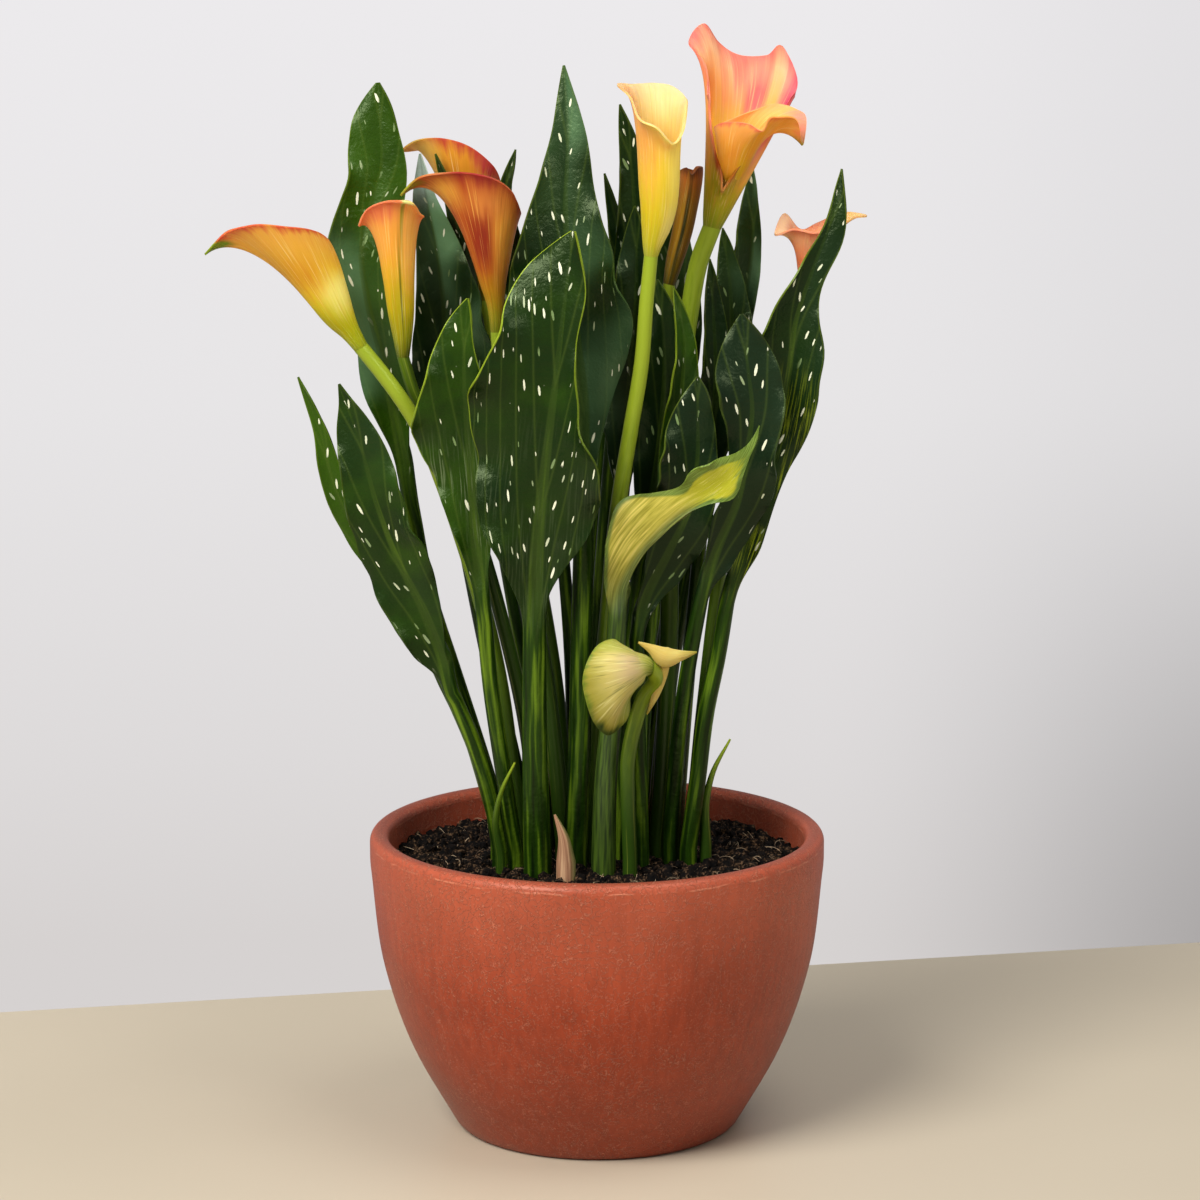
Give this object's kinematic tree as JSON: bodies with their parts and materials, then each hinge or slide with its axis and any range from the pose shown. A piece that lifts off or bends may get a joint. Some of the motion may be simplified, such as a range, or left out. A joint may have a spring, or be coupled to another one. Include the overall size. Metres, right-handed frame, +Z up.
{
  "type": "potted calla lily",
  "caption": "Potted calla lily with spotted upright leaves and funnel-shaped blooms in orange, yellow and pink, standing in soil in a bowl planter.",
  "frame": {"origin": "centre of the planter's underside", "axes": "+Z up, -Y towards the front that the blooms and the large middle leaf face, +X to the right"},
  "size_m": [0.2964, 0.21, 0.5074],
  "materials": {
    "pot": "matt terracotta with light scuffs",
    "soil": "loose dark potting soil",
    "leaf": "glossy dark green with pale dashes",
    "pale_leaf": "pale yellow-green with green edges",
    "stalk": "satin green",
    "shoot": "satin green",
    "dry_sheath": "dry brown",
    "orange_spathe": "satin orange, reddish at the rim",
    "red_spathe": "satin orange-red",
    "yellow_spathe": "satin yellow",
    "pink_spathe": "satin salmon pink to orange",
    "amber_spathe": "satin amber",
    "faded_spathe": "faded beige with green streaks",
    "spadix": "matt yellow"
  },
  "bodies": {
    "root": {"bloom_behind_left_spadix": "spadix", "bloom_behind_left_spathe": "orange_spathe", "bloom_behind_left_stalk": "stalk", "bloom_double_back_spathe": "pink_spathe", "bloom_double_front_spadix": "spadix", "bloom_double_front_spathe": "pink_spathe", "bloom_double_stalk": "stalk", "bloom_faded_spathe": "faded_spathe", "bloom_faded_stalk": "stalk", "bloom_far_left_spadix": "spadix", "bloom_far_left_spathe": "orange_spathe", "bloom_far_left_stalk": "stalk", "bloom_middle_back_spathe": "amber_spathe", "bloom_middle_back_stalk": "stalk", "bloom_red_left_spadix": "spadix", "bloom_red_left_spathe": "red_spathe", "bloom_red_left_stalk": "stalk", "bloom_right_spadix": "spadix", "bloom_right_spathe": "pink_spathe", "bloom_right_stalk": "stalk", "bloom_small_left_spadix": "spadix", "bloom_small_left_spathe": "orange_spathe", "bloom_small_left_stalk": "stalk", "bloom_yellow_spadix": "spadix", "bloom_yellow_spathe": "yellow_spathe", "bloom_yellow_stalk": "stalk", "leaf_back_left": "leaf", "leaf_back_middle": "leaf", "leaf_back_right": "leaf", "leaf_behind_blooms": "leaf", "leaf_behind_yellow": "leaf", "leaf_far_left": "leaf", "leaf_front": "leaf", "leaf_front_left": "leaf", "leaf_inner_curled": "leaf", "leaf_inner_dark": "leaf", "leaf_inner_low": "leaf", "leaf_left": "leaf", "leaf_left_back": "leaf", "leaf_middle_back": "leaf", "leaf_pale_curled": "pale_leaf", "leaf_right": "leaf", "leaf_right_back": "leaf", "leaf_right_lower": "leaf", "leaf_right_middle": "leaf", "leaf_right_slim": "leaf", "leaf_slim_back": "leaf", "leaf_slim_left": "leaf", "leaf_slim_tip": "leaf", "leaf_tall_left": "leaf", "leaf_tall_middle": "leaf", "pot": "pot", "sheath_dry": "dry_sheath", "shoot_back": "shoot", "shoot_left": "shoot", "shoot_right": "shoot", "soil": "soil"}
  },
  "joints": []
}
